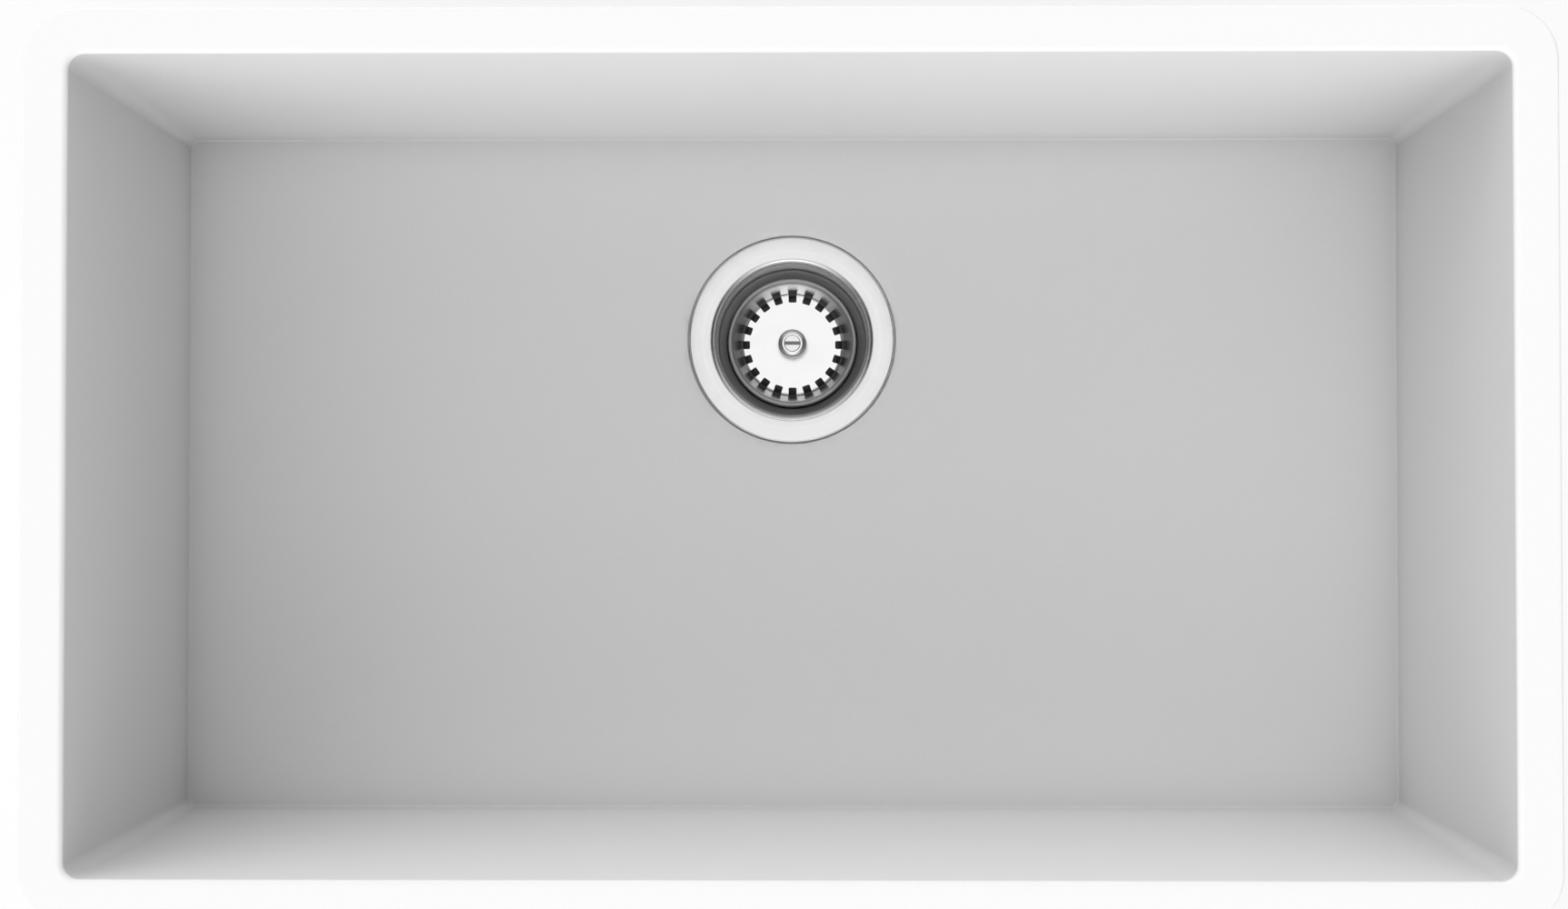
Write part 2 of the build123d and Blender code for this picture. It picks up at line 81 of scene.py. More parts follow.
class Graph:
    """A material's or world's node tree, with short calls for the nodes used here."""

    def __init__(self, owner):
        owner.use_nodes = True
        self.tree = owner.node_tree
        self.tree.nodes.clear()

    def node(self, kind, inputs=None, **settings):
        """New node with its inputs fed and its settings made."""
        made = self.tree.nodes.new(kind)
        for name, value in settings.items():
            setattr(made, name, value)
        for name, value in (inputs or {}).items():
            self.feed(made.inputs[name], value)
        return made

    def feed(self, socket, value):
        """A socket links to its input, and anything else is set as its value."""
        if isinstance(value, bpy.types.NodeSocket):
            self.tree.links.new(value, socket)
        else:
            socket.default_value = value

    def math(self, operation, *values):
        """Result of one operation on up to three numbers."""
        made = self.node("ShaderNodeMath", dict(enumerate(values)), operation=operation)
        return made.outputs[0]

    def ramp(self, value, low, high, to_low=0.0, to_high=1.0, smooth=False):
        """Number that goes from to_low to to_high while the value goes from low to high."""
        inputs = {
            "Value": value,
            "From Min": low,
            "From Max": high,
            "To Min": to_low,
            "To Max": to_high,
        }
        made = self.node("ShaderNodeMapRange", inputs, clamp=True)
        made.interpolation_type = "SMOOTHSTEP" if smooth else "LINEAR"
        return made.outputs["Result"]

    def blend(self, factor, first, second):
        """Colour that goes from the first to the second."""
        made = self.node("ShaderNodeMix", data_type="RGBA")
        for index, value in ((0, factor), (6, first), (7, second)):
            self.feed(made.inputs[index], value)
        return made.outputs[2]

    def blend_value(self, factor, first, second):
        """Number that goes from the first value to the second."""
        made = self.node("ShaderNodeMix", data_type="FLOAT")
        for index, value in ((0, factor), (2, first), (3, second)):
            self.feed(made.inputs[index], value)
        return made.outputs[0]

    def place(self):
        """Position in the part's frame."""
        return self.node("ShaderNodeTexCoord").outputs["Object"]

    def noise(self, vector, scale, detail=2.0, roughness=0.5):
        """Brightness of a noise at a place."""
        inputs = {"Vector": vector, "Scale": scale, "Detail": detail, "Roughness": roughness}
        return self.node("ShaderNodeTexNoise", inputs).outputs["Fac"]

    def bump(self, height, distance, strength=1.0, normal=None):
        """Normal of a surface that stands up by a height times a distance."""
        inputs = {"Height": height, "Distance": distance, "Strength": strength}
        if normal is not None:
            inputs["Normal"] = normal
        return self.node("ShaderNodeBump", inputs).outputs["Normal"]

    def product(self, *factors):
        """All factors multiplied."""
        result = factors[0]
        for factor in factors[1:]:
            result = self.math("MULTIPLY", result, factor)
        return result

    def distance(self, across, up):
        """Length of a line with these two sides."""
        squares = self.math("ADD", self.math("POWER", across, 2.0), self.math("POWER", up, 2.0))
        return self.math("SQRT", squares)

    def painted_shade(self, away, reach, share):
        """Share of painted shade that thins out away from an edge, by a factor e in each reach.
        """
        return self.product(self.math("POWER", math.e, self.math("DIVIDE", away, -reach)), share)

    def surface(self, inputs):
        """Principled shader as the material's surface."""
        shader = self.node("ShaderNodeBsdfPrincipled", inputs)
        out = self.node("ShaderNodeOutputMaterial")
        self.tree.links.new(shader.outputs[0], out.inputs["Surface"])
        return shader


def grey(value):
    """Neutral colour of one brightness."""
    return (value, value, value, 1.0)


# ---- materials ----------------------------------------------------------------------

MIDDLE = (0.3, 0.7)  # range in which most of a noise lies

# The bowl's finish. Tones are pairs where a grain mixes them. SKIN_GAP is how far outside
# the inner walls the outer skin comes in, and the other ranges are heights.
INSIDE_TONES = (0.685, 0.715)
SPECK_TONE = 0.62
CLOUD_TONE = 0.69
# tone of the painted shade along the floor's edge and in the upright corners
PAINTED_SHADE_TONE = 0.35
# whiter tones of the rim and the flange's top face: painted light
PAINTED_LIT_TOP_TONES = (0.83, 0.86)
SKIN_TONES = (0.585, 0.615)
PATCH_TONE = 0.53
INSIDE_ROUGH = 0.55
SKIN_ROUGH = 0.85
SKIN_GAP = (0.003, 0.005)
SKIN_TOP = (-0.001, -0.002)
SKIN_UNDER = (UNDERSIDE_Z, UNDERSIDE_Z - 0.002)
# heights over which the painted light of the rim and the flange's top comes in
PAINTED_LIT_TOP_EDGE = (-0.0032, -0.0012)
# painted shade: how far the darkening along the floor's edge and in the upright corners reaches,
# and how strong it is
FOOT_PAINTED_SHADE = {"reach": 0.009, "share": 0.25}
CORNER_PAINTED_SHADE = {"reach": 0.030, "share": 0.28}


def composite():
    """Moulded white mineral composite: fine quartz grain, matt inside, rougher outside."""
    material = bpy.data.materials.new("white_composite")
    g = Graph(material)
    place = g.place()
    split = g.node("ShaderNodeSeparateXYZ", {0: place})
    height = split.outputs["Z"]
    grain = g.noise(place, scale=1400.0, detail=3.0, roughness=0.6)
    mix = g.ramp(grain, *MIDDLE)

    # the outer skin of the moulding lies outside the leaning walls and below the floor
    drift = g.math("MULTIPLY", height, -WALL_LEAN)
    across_x = g.math("ADD", g.math("ABSOLUTE", split.outputs["X"]), drift)
    across_y = g.math("ADD", g.math("ABSOLUTE", split.outputs["Y"]), drift)
    outer_x = g.ramp(across_x, *(HALF_LENGTH + gap for gap in SKIN_GAP))
    outer_y = g.ramp(across_y, *(HALF_WIDTH + gap for gap in SKIN_GAP))
    outer = g.math("MAXIMUM", g.math("MAXIMUM", outer_x, outer_y), g.ramp(height, *SKIN_UNDER))
    outer = g.product(outer, g.ramp(height, *SKIN_TOP))

    # inside: grain, quartz specks and faint clouds
    cells = g.node("ShaderNodeTexVoronoi", {"Vector": place, "Scale": 1100.0}, feature="F1")
    speck = g.ramp(cells.outputs["Distance"], 0.0, 0.16, 1.0, 0.0)
    cloud = g.ramp(g.noise(place, scale=14.0, detail=3.0), *MIDDLE)
    tone = g.blend(mix, *map(grey, INSIDE_TONES))
    tone = g.blend(g.product(speck, 0.35), tone, grey(SPECK_TONE))
    tone = g.blend(g.product(cloud, 0.25), tone, grey(CLOUD_TONE))

    # painted shade: the tone turns dark grey where the floor meets the walls, and in the upright
    # corners
    gap_x = g.math("MAXIMUM", g.math("SUBTRACT", HALF_LENGTH, across_x), 0.0)
    gap_y = g.math("MAXIMUM", g.math("SUBTRACT", HALF_WIDTH, across_y), 0.0)
    rise = g.math("MAXIMUM", g.math("SUBTRACT", height, FOOT_Z), 0.0)
    foot = g.painted_shade(g.distance(g.math("MINIMUM", gap_x, gap_y), rise), **FOOT_PAINTED_SHADE)
    corner = g.painted_shade(g.distance(gap_x, gap_y), **CORNER_PAINTED_SHADE)
    painted_shade = g.product(g.math("ADD", foot, corner), g.math("SUBTRACT", 1.0, outer))
    tone = g.blend(painted_shade, tone, grey(PAINTED_SHADE_TONE))

    # painted light: the rim and the flange's top face are painted whiter, as if lit more brightly
    # than the inside
    painted_lit_top = g.ramp(height, *PAINTED_LIT_TOP_EDGE, smooth=True)
    tone = g.blend(painted_lit_top, tone, g.blend(mix, *map(grey, PAINTED_LIT_TOP_TONES)))

    # outside: raw skin with faint patches
    patches = g.ramp(g.noise(place, scale=45.0, detail=5.0, roughness=0.65), 0.35, 0.7)
    skin = g.blend(patches, g.blend(mix, *map(grey, SKIN_TONES)), grey(PATCH_TONE))
    tone = g.blend(outer, tone, skin)
    coarse = g.product(g.noise(place, scale=260.0, detail=5.0, roughness=0.65), outer)
    fine = g.bump(grain, distance=0.00004, strength=0.5)
    g.surface({
        "Base Color": tone,
        "Roughness": g.ramp(outer, 0.0, 1.0, INSIDE_ROUGH, SKIN_ROUGH),
        "Normal": g.bump(coarse, distance=0.0011, strength=0.8, normal=fine),
        "Specular IOR Level": 0.35,
    })
    return material


# Part of a turned surface with a roughness, and perhaps a tone, of its own. It comes in
# between two heights (down) or between two radii (out). Within gives its greatest radius
# at the first of the heights, how much that shrinks for each metre further down, and the
# lowest height that it reaches.
Zone = namedtuple("Zone", "rough tone down out within", defaults=(None,) * 4)


def zone_share(g, zone, radius, height):
    """How much of a zone's finish there is at a radius and a height."""
    if zone.out:
        return g.ramp(radius, *zone.out, smooth=True)
    share = g.ramp(height, *zone.down, smooth=True)
    if zone.within:
        widest, taper, lowest = zone.within
        deeper = g.math("SUBTRACT", zone.down[0], height)
        reach = g.math("ADD", radius, g.product(deeper, taper))
        share = g.product(share, g.math("LESS_THAN", reach, widest))
        share = g.product(share, g.math("GREATER_THAN", height, lowest))
    return share


def turned_metal(name, dark, light, rough_low, rough_high, *zones):
    """Metal with fine concentric lines round the drain's axis and faint handling marks."""
    material = bpy.data.materials.new(name)
    g = Graph(material)
    place = g.place()
    split = g.node("ShaderNodeSeparateXYZ", {0: place})
    height = split.outputs["Z"]
    radius = g.distance(split.outputs["X"], g.math("SUBTRACT", split.outputs["Y"], DRAIN_Y))
    ring_place = g.node("ShaderNodeCombineXYZ", {"X": radius, "Y": height})
    rings = g.noise(ring_place.outputs[0], scale=2600.0, roughness=0.6)
    smudge = g.noise(place, scale=90.0, detail=4.0, roughness=0.6)
    tone = g.blend(g.ramp(smudge, 0.25, 0.75), dark, light)
    marks = g.product(g.math("ADD", rings, smudge), 0.5)
    rough = g.ramp(marks, *MIDDLE, rough_low, rough_high)
    for zone in zones:
        share = zone_share(g, zone, radius, height)
        rough = g.blend_value(share, rough, zone.rough)
        if zone.tone is not None:
            tone = g.blend(share, tone, grey(zone.tone))
    normal = g.bump(rings, distance=0.00002, strength=0.6)
    g.surface({"Base Color": tone, "Metallic": 1.0, "Roughness": rough, "Normal": normal})
    return material


def rubber(name, tone):
    """Matt moulded rubber with a dusty grain."""
    material = bpy.data.materials.new(name)
    g = Graph(material)
    place = g.place()
    grain = g.noise(place, scale=1200.0, detail=3.0, roughness=0.6)
    dust = g.noise(place, scale=60.0, detail=4.0, roughness=0.6)
    dusty = tone * 1.9
    g.surface({
        "Base Color": g.blend(g.ramp(dust, 0.4, 0.8), grey(tone), grey(dusty)),
        "Roughness": g.ramp(dust, 0.2, 0.8, 0.55, 0.8),
        "Normal": g.bump(grain, distance=0.00005, strength=0.6),
    })
    return material


def plastic(name, dark, light):
    """Moulded nylon, slightly mottled."""
    material = bpy.data.materials.new(name)
    g = Graph(material)
    place = g.place()
    mottle = g.noise(place, scale=250.0, detail=3.0)
    g.surface({
        "Base Color": g.blend(g.ramp(mottle, *MIDDLE), dark, light),
        "Roughness": g.ramp(mottle, *MIDDLE, 0.38, 0.5),
        "Normal": g.bump(mottle, distance=0.00002, strength=0.5),
    })
    return material


def fibre():
    """Pressed fibre of the friction washer."""
    material = bpy.data.materials.new("pressed_fibre")
    g = Graph(material)
    place = g.place()
    stretched = g.node("ShaderNodeMapping", {"Vector": place, "Scale": (1.0, 1.0, 6.0)})
    threads = g.noise(stretched.outputs[0], scale=700.0, detail=5.0, roughness=0.7)
    dark, light = (0.30, 0.19, 0.11, 1.0), (0.52, 0.36, 0.23, 1.0)
    g.surface({
        "Base Color": g.blend(g.ramp(threads, *MIDDLE), dark, light),
        "Roughness": g.ramp(threads, *MIDDLE, 0.75, 0.92),
        "Normal": g.bump(threads, distance=0.0001, strength=0.7),
    })
    return material


def cast_metal(name, dark, light):
    """Cast and tumbled metal with a soft grain."""
    material = bpy.data.materials.new(name)
    g = Graph(material)
    place = g.place()
    grain = g.noise(place, scale=900.0, detail=4.0, roughness=0.6)
    patch = g.noise(place, scale=70.0, detail=3.0)
    g.surface({
        "Base Color": g.blend(g.ramp(patch, *MIDDLE), dark, light),
        "Metallic": 1.0,
        "Roughness": g.ramp(grain, *MIDDLE, 0.32, 0.5),
        "Normal": g.bump(grain, distance=0.00008, strength=0.6),
    })
    return material


# the cup's inner wall and ledge are satin; its lower part is rougher and painted dark as painted
# shade; the basket's rim is rougher and painted darker as painted shade; and the screw's slot is
# painted dark as painted shade
STRAINER_SATIN = Zone(rough=0.50, down=(-0.2035, -0.2055), within=(0.0428, 0.0, -0.2366))
# rougher lower cup, and its dark tone is painted shade
STRAINER_DULL_AND_SHADE = Zone(
    rough=0.5, tone=0.20, down=(-0.2365, -0.2415), within=(0.0375, 0.219, -0.2530)
)
# rougher rim, and its darker tone is painted shade in place of its bright reflection
BASKET_RIM_ROUGH_AND_SHADE = Zone(rough=0.50, tone=0.52, out=(0.0327, 0.0343))
# painted shade: the slot's floor gets a dark tone
SCREW_SLOT_SHADE = Zone(rough=0.45, tone=0.30, down=(-0.2311, -0.2316))

finishes = {
    "sink_bowl": composite(),
    "clip_inserts": cast_metal("insert_brass", (0.62, 0.44, 0.18, 1.0), (0.78, 0.58, 0.27, 1.0)),
    "flange_seal": rubber("seal_foam", 0.10),
    "strainer_body": turned_metal(
        "strainer_steel", grey(0.70), grey(0.76), 0.16, 0.30, STRAINER_SATIN, STRAINER_DULL_AND_SHADE
    ),
    "rubber_gasket": rubber("gasket_rubber", 0.035),
    "friction_washer": fibre(),
    "locknut": cast_metal("locknut_zinc", grey(0.50), grey(0.66)),
    "outlet_neck": cast_metal("neck_brass", (0.60, 0.43, 0.19, 1.0), (0.76, 0.57, 0.28, 1.0)),
    "outlet_cross": turned_metal("cross_steel", grey(0.62), grey(0.74), 0.2, 0.34),
    "post_grip": plastic("grip_nylon", grey(0.70), grey(0.80)),
    "basket_cup": turned_metal("basket_steel", grey(0.78), grey(0.85), 0.14, 0.28, BASKET_RIM_ROUGH_AND_SHADE),
    "basket_post": turned_metal("post_steel", grey(0.72), grey(0.80), 0.12, 0.24),
    "basket_knob": turned_metal("knob_steel", grey(0.76), grey(0.86), 0.06, 0.16),
    "knob_screw": turned_metal("screw_steel", grey(0.68), grey(0.76), 0.14, 0.26, SCREW_SLOT_SHADE),
    "stopper_seal": rubber("stopper_rubber", 0.03),
    "seal_washer": turned_metal("washer_steel", grey(0.66), grey(0.74), 0.2, 0.34),
    "post_clip": turned_metal("clip_steel", grey(0.5), grey(0.6), 0.2, 0.34),
    "tailpiece_washer": plastic("washer_nylon", grey(0.74), grey(0.84)),
    "tailpiece": turned_metal("outlet_chrome", grey(0.52), grey(0.60), 0.05, 0.12),
    "coupling_nut": turned_metal("coupling_chrome", grey(0.50), grey(0.58), 0.08, 0.18),
}
for name, material in finishes.items():
    node = nodes[name]
    if node.material_slots:
        for material_slot in node.material_slots:
            material_slot.material = material
    else:
        node.data.materials.append(material)

# widths of soft edges, on solids whose real edges are broken or deburred
SOFT_EDGES = {
    "basket_post": 0.0002,
    "outlet_cross": 0.0003,
    "post_grip": 0.0002,
    "coupling_nut": 0.0005,
    "knob_screw": 0.0001,
}
for name, width in SOFT_EDGES.items():
    soft = nodes[name].modifiers.new("soft_edges", "BEVEL")
    soft.width = width
    soft.segments = 2
    soft.limit_method = "ANGLE"
    soft.angle_limit = math.radians(40.0)

# ---- mesh helpers: outlines in millimetres, turned round an upright axis ----------------

MM = 0.001
DRAIN = (0.0, DRAIN_Y / MM)  # axis of the waste
SHARP_ANGLE = math.radians(35.0)  # edges that turn further stay sharp
MERGE = 0.0000005  # in metres: points nearer than this become one
THIN = 0.0000002  # in metres: edges shorter than this are dissolved


def rounded(corners, steps=5):
    """Closed outline from (x, y, rounding) corners, with an arc at each rounding."""
    outline = []
    for index, (x, y, rounding) in enumerate(corners):
        here = Vector((x, y))
        if rounding <= 0.0:
            outline.append(here)
            continue
        back = (Vector(corners[index - 1][:2]) - here).normalized()
        on = (Vector(corners[(index + 1) % len(corners)][:2]) - here).normalized()
        half = back.angle(on) / 2
        centre = here + (back + on).normalized() * (rounding / math.sin(half))
        start = here + back * (rounding / math.tan(half)) - centre
        end = here + on * (rounding / math.tan(half)) - centre
        turn = math.atan2(start.x * end.y - start.y * end.x, start.dot(end))
        for step in range(steps + 1):
            angle = turn * step / steps
            arm = Vector((
                start.x * math.cos(angle) - start.y * math.sin(angle),
                start.x * math.sin(angle) + start.y * math.cos(angle),
            ))
            outline.append(centre + arm)
    return outline


def sheet(line, thickness):
    """Corners of a bent sheet, from those of one side; the other side lies to its left."""
    far = []
    for index, (x, y, rounding) in enumerate(line):
        here = Vector((x, y))
        ways = []
        if index > 0:
            ways.append((here - Vector(line[index - 1][:2])).normalized())
        if index < len(line) - 1:
            ways.append((Vector(line[index + 1][:2]) - here).normalized())
        sides = [Vector((-way.y, way.x)) for way in ways]
        middle = (sides[0] + sides[-1]).normalized()
        there = here + middle * (thickness / middle.dot(sides[0]))
        left_turn = ways[0].x * ways[-1].y - ways[0].y * ways[-1].x > 0.0
        bend = rounding + (-thickness if left_turn else thickness) if rounding else 0.0
        far.append((there.x, there.y, bend))
    return list(line) + far[::-1]


def finely(outline, low, high, step):
    """Outline with more points on its runs between two heights."""
    fine = []
    for here, after in zip(outline, outline[1:] + outline[:1]):
        fine.append(here)
        if min(here.y, after.y) < high and max(here.y, after.y) > low:
            count = int((after - here).length / step)
            fine += [here.lerp(after, index / count) for index in range(1, count)]
    return fine


def thread(low, high, pitch, depth, nearest, farthest):
    """Radial wave of a screw thread between two heights and two radii."""

    def wave(radius, height, turn):
        if not (nearest < radius < farthest and low < height < high):
            return 0.0
        fade = min(1.0, (height - low) / pitch, (high - height) / pitch)
        return depth * fade * (0.5 - 0.5 * math.cos(2 * math.pi * (height / pitch - turn)))

    return wave


def plain(radius, height, turn):
    """No wave: a surface without a thread."""
    return 0.0


def turned_rings(outline, centre, segments, wave=plain):
    """Points and faces of a solid of revolution, as closed rings of quads."""
    points = []
    for place in outline:
        for index in range(segments):
            turn = index / segments
            radius = place.x + wave(place.x, place.y, turn)
            angle = 2 * math.pi * turn
            points.append((
                centre[0] + radius * math.cos(angle),
                centre[1] + radius * math.sin(angle),
                place.y,
            ))
    return points, ring_faces(len(outline), segments)


def ring_faces(rings, count):
    """Quads between successive rings of count points, the last ring joined to the first."""
    faces = []
    for ring in range(rings):
        low = ring * count
        high = ((ring + 1) % rings) * count
        for index in range(count):
            after = (index + 1) % count
            faces.append((low + index, low + after, high + after, high + index))
    return faces


def mesh_object(name, work):
    """Object from a bmesh, which it frees: smooth but for its sharp edges."""
    bmesh.ops.recalc_face_normals(work, faces=work.faces)
    mesh = bpy.data.meshes.new(name)
    work.to_mesh(mesh)
    work.free()
    mesh.shade_smooth()
    mesh.set_sharp_from_angle(angle=SHARP_ANGLE)
    piece = bpy.data.objects.new(name, mesh)
    bpy.context.collection.objects.link(piece)
    return piece


def build_mesh(name, shells):
    """Object from closed shells of points in millimetres and their faces."""
    work = bmesh.new()
    for points, faces in shells:
        corners = [work.verts.new(Vector(point) * MM) for point in points]
        for face in faces:
            work.faces.new([corners[index] for index in face])
    bmesh.ops.remove_doubles(work, verts=work.verts, dist=MERGE)
    bmesh.ops.dissolve_degenerate(work, edges=work.edges, dist=THIN)
    return mesh_object(name, work)


def stand_for(piece, node, body):
    """Piece in place of a node: on its body and with its finish."""
    piece.data.materials.append(finishes[node])
    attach(piece, body)
    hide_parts(node)


# ---- strainer body: pressed sheet, its thread rolled through the collar's wall ----------

SHEET = 1.0  # thickness
STRAINER_LINE = (  # radius, height and bend at each corner of the sheet's upper side
    (57.5, -204.0, 0.0),
    (57.5, -201.5, 1.2),
    (42.3, -201.5, 3.5),
    (42.3, -234.5, 1.6),
    (37.0, -236.5, 1.6),
    (33.5, -252.5, 4.0),
    (20.3, -252.5, 0.0),
)
ROLLED_LOW, ROLLED_HIGH, ROLLED_PITCH, ROLLED_DEPTH = -233.5, -209.5, 2.3, 0.55

strainer_outline = rounded(sheet(STRAINER_LINE, SHEET), steps=8)
strainer_outline = finely(strainer_outline, ROLLED_LOW, ROLLED_HIGH, step=ROLLED_PITCH / 9)
rolled = thread(
    ROLLED_LOW, ROLLED_HIGH, ROLLED_PITCH, -ROLLED_DEPTH, nearest=41.0, farthest=44.0
)
strainer_shell = turned_rings(strainer_outline, DRAIN, segments=240, wave=rolled)
strainer = build_mesh("strainer_pressing", [strainer_shell])
stand_for(strainer, "strainer_body", SINK)

# ---- outlet neck: thread for the coupling nut, and a braze bead under the cup -----------

NECK = (
    (20.3, -253.5, 0.0),
    (28.5, -253.5, 0.0),
    (28.5, -255.0, 0.4),
    (23.8, -255.0, 0.5),
    (23.8, -274.7, 0.0),
    (23.0, -275.5, 0.0),
    (20.3, -275.5, 0.3),
)
NECK_PITCH = 2.2
neck_outline = finely(rounded(NECK), low=-274.5, high=-256.5, step=NECK_PITCH / 9)
cut = thread(
    low=-275.3, high=-256.5, pitch=NECK_PITCH, depth=-0.9, nearest=23.5, farthest=24.5
)
neck = build_mesh("neck_threaded", [turned_rings(neck_outline, DRAIN, segments=144, wave=cut)])
stand_for(neck, "outlet_neck", SINK)

BRAZE = ((28.3, -253.5, 0.0), (29.5, -253.5, 0.0), (28.75, -253.85, 0.5), (28.3, -254.7, 0.0))
braze = build_mesh("neck_braze", [turned_rings(rounded(BRAZE), DRAIN, segments=96)])
braze.data.materials.append(finishes["outlet_neck"])
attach(braze, SINK)

# ---- rubber gasket and friction washer, with soft edges ---------------------------------

GASKET = (
    (43.6, -218.0, 0.5),
    (54.0, -218.0, 0.9),
    (54.0, -214.0, 0.9),
    (45.2, -214.0, 0.0),
    (45.2, -211.0, 0.6),
    (43.6, -211.0, 0.4),
)
gasket = build_mesh("gasket_moulding", [turned_rings(rounded(GASKET), DRAIN, segments=144)])
stand_for(gasket, "rubber_gasket", SINK)

WASHER = ((43.6, -219.5, 0.2), (54.0, -219.5, 0.45), (54.0, -218.0, 0.45), (43.6, -218.0, 0.2))
washer = build_mesh("washer_pressing", [turned_rings(rounded(WASHER), DRAIN, segments=144)])
stand_for(washer, "friction_washer", SINK)

# ---- locknut: cast ring with rounded lugs ------------------------------------------------

NUT_BORE = 43.6  # radii of the bore, the outside, the rim on top and the lugs
NUT_WALL = 48.3
NUT_RIM = 52.0
LUG_REACH = 58.0
NUT_BOTTOM = -230.5
NUT_STEP = -222.5  # where the rim juts out
NUT_TOP = -219.5
NUT_BEVEL = 0.8
STEP_BEVEL = 0.4
RIM_BEVEL = 0.5
LUG_COUNT = 6
LUG_HALF = 4.5
LUG_EDGE = 1.4
LUG_ROOT = 1.8
ROOT_ROOM = 3.4  # along the ring, kept free for the rounding at a lug's root
ARC_STEPS = 8


def nut_outline(base):
    """Outside of the nut at one height, round a ring of the base radius."""
    corners = []
    root = math.asin(LUG_HALF / base)
    first = root + ROOT_ROOM / base
    last = 2 * math.pi / LUG_COUNT - first
    for lug in range(LUG_COUNT):
        centre = 2 * math.pi * lug / LUG_COUNT
        along = Vector((math.cos(centre), math.sin(centre)))
        across = Vector((-along.y, along.x))
        foot = math.sqrt(base ** 2 - LUG_HALF ** 2)
        for reach, side, rounding in (
            (foot, -1, LUG_ROOT), (LUG_REACH, -1, LUG_EDGE),
            (LUG_REACH, 1, LUG_EDGE), (foot, 1, LUG_ROOT),
        ):
            corner = along * reach + across * side * LUG_HALF
            corners.append((corner.x, corner.y, rounding))
        for step in range(ARC_STEPS + 1):
            angle = centre + first + (last - first) * step / ARC_STEPS
            corners.append((base * math.cos(angle), base * math.sin(angle), 0.0))
    return rounded(corners, steps=4)


def inset(outline, amount):
    """Outline moved inwards along its own normals."""
    moved = []
    for index, here in enumerate(outline):
        along = (outline[(index + 1) % len(outline)] - outline[index - 1]).normalized()
        moved.append(here - Vector((along.y, -along.x)) * amount)
    return moved


def quarter(width, steps):
    """Insets and depths of a rounded edge, from its flat face to its side."""
    angles = [math.pi / 2 * step / steps for step in range(steps + 1)]
    return [(width * (1 - math.sin(angle)), width * (1 - math.cos(angle))) for angle in angles]


def cast_nut():
    """Points and faces of the nut, ring by ring up its outside and down its bore."""
    wall = nut_outline(NUT_WALL)
    rim = nut_outline(NUT_RIM)
    bore = [place.normalized() * NUT_BORE for place in rim]
    mouth = [place.normalized() * (NUT_BORE + NUT_BEVEL / 2) for place in rim]
    rings = [(inset(wall, inward), NUT_BOTTOM + depth) for inward, depth in quarter(NUT_BEVEL, 3)]
    rings += [(wall, NUT_STEP - STEP_BEVEL), (inset(wall, -STEP_BEVEL), NUT_STEP)]
    rings += [(inset(rim, inward), NUT_STEP + depth) for inward, depth in quarter(RIM_BEVEL, 2)]
    rings += [
        (inset(rim, inward), NUT_TOP - depth) for inward, depth in quarter(NUT_BEVEL, 3)[::-1]
    ]
    rings += [
        (mouth, NUT_TOP),
        (bore, NUT_TOP - NUT_BEVEL / 2),
        (bore, NUT_BOTTOM + NUT_BEVEL / 2),
        (mouth, NUT_BOTTOM),
    ]
    points = []
    for outline, height in rings:
        points += [(DRAIN[0] + place.x, DRAIN[1] + place.y, height) for place in outline]
    return points, ring_faces(len(rings), len(rim))


nut = build_mesh("locknut_casting", [cast_nut()])
stand_for(nut, "locknut", SINK)

# ---- worktop clip inserts: grooved outside, threaded bore --------------------------------

INSERT = (
    (4.0, -16.0, 0.2),
    (4.0, -12.0, 0.0),
    (3.4, -12.0, 0.0),
    (3.4, -10.0, 0.0),
    (4.0, -10.0, 0.0),
    (4.0, -6.0, 0.3),
    (0.0, -6.0, 0.0),
    (0.0, -7.5, 0.0),
    (2.5, -8.2, 0.0),
    (2.5, -15.5, 0.0),
    (3.1, -16.0, 0.0),
)
INSERT_PITCH = 1.0
LONG_SIDE_Y, LONG_SIDE_STEP = 214.5, 245.0
SHORT_SIDE_X, SHORT_SIDE_STEP = 364.5, 210.0
insert_places = [
    (step * LONG_SIDE_STEP, side * LONG_SIDE_Y) for side in (1, -1) for step in (-1, 0, 1)
]
insert_places += [
    (side * SHORT_SIDE_X, step * SHORT_SIDE_STEP) for side in (1, -1) for step in (-0.5, 0.5)
]
insert_outline = finely(rounded(INSERT, steps=3), low=-15.6, high=-8.3, step=INSERT_PITCH / 7)
tapped = thread(low=-15.9, high=-8.3, pitch=INSERT_PITCH, depth=0.5, nearest=2.4, farthest=2.6)
inserts = build_mesh(
    "inserts_tapped",
    [turned_rings(insert_outline, place, segments=36, wave=tapped) for place in insert_places],
)
stand_for(inserts, "clip_inserts", SINK)

# ---- bowl: the frame's own mesh, with crisper inner corners as in the photograph ----------

# Radius of the upright corners at the opening and at the floor, in metres: in the frame's
# mesh, and as they are here. The fillet along the floor, FOOT_WIDTH wide, shrinks by
# FOOT_SHARE.
FRAME_CORNER = (0.012, 0.015)
CRISP_CORNER = (0.008, 0.005)
FOOT_WIDTH = 0.003
FOOT_SHARE = 0.5
SKIN = (-0.0032, 0.0033)  # depths from the wall that hold its rim and its fillet
FLOOR_FALL = 0.002  # from the walls to the level patch round the drain
PATCH_HALF = 0.0623  # half the width of that patch, and the radius of its corners
PATCH_CORNER = 0.048
NEAR = 0.00015  # room left for rounding when a point is sorted into its zone


def corner_at(radii, z):
    """Radius of the bowl's upright corners at a height, from those at top and bottom."""
    return radii[0] + (radii[1] - radii[0]) * z / FOOT_Z


def wall_gaps(x, y, z):
    """Distances inwards from the planes of the two nearest walls."""
    drift = z * WALL_LEAN
    return HALF_LENGTH + drift - abs(x), HALF_WIDTH + drift - abs(y)


def beside_walls(x, y, z, gap_x, gap_y):
    """Point at given distances from the two nearest walls."""
    drift = z * WALL_LEAN
    return Vector((
        math.copysign(HALF_LENGTH + drift - gap_x, x),
        math.copysign(HALF_WIDTH + drift - gap_y, y),
        z,
    ))


